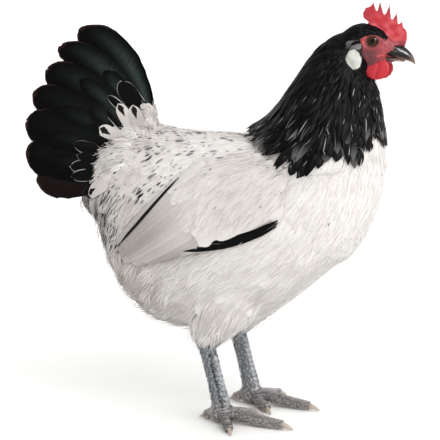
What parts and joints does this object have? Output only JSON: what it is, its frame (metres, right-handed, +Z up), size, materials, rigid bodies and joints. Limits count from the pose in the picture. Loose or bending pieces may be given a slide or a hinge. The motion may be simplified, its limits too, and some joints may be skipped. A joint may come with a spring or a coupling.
{
  "type": "standing hen",
  "caption": "Life-size standing hen: white body, long black hackle, upright black fan tail, red upright comb, white ear lobes and slate-blue scaled legs.",
  "frame": {"origin": "on the floor, under the middle of the bird's outline", "axes": "+X ahead, towards the bill; +Y to the bird's left; +Z up"},
  "size_m": [0.3894, 0.1484, 0.4142],
  "materials": {
    "plume_white": "soft white feathers with a warm pinkish-grey shade",
    "plume_black": "black feathers with a faint green sheen",
    "comb_red": "bare red skin with a fine grain",
    "lobe_white": "smooth white skin",
    "bill_horn": "dark polished horn with a lighter ridge",
    "scale_slate": "slate-blue horny scales",
    "claw_horn": "pale translucent horn, darker at the root",
    "eye_amber": "wet, olive-amber iris with a black pupil"
  },
  "bodies": {
    "root": {"trunk": "plume_white", "neck": "plume_black", "head": "comb_red", "comb": "comb_red", "bill_upper": "bill_horn", "bill_lower": "bill_horn", "eye_left": "eye_amber", "eye_right": "eye_amber", "wattle_left": "comb_red", "wattle_right": "comb_red", "earlobe_left": "lobe_white", "earlobe_right": "lobe_white", "wing_left": "plume_white", "wing_right": "plume_white", "flight_feathers_left": "plume_black", "flight_feathers_right": "plume_black", "tail_left": "plume_black", "tail_right": "plume_black", "thigh_left": "plume_white", "thigh_right": "plume_white", "shank_left": "scale_slate", "shank_right": "scale_slate", "foot_left": "scale_slate", "foot_right": "scale_slate", "claw_left_inner": "claw_horn", "claw_left_middle": "claw_horn", "claw_left_outer": "claw_horn", "claw_left_hind": "claw_horn", "claw_right_inner": "claw_horn", "claw_right_middle": "claw_horn", "claw_right_outer": "claw_horn", "claw_right_hind": "claw_horn"}
  },
  "joints": []
}
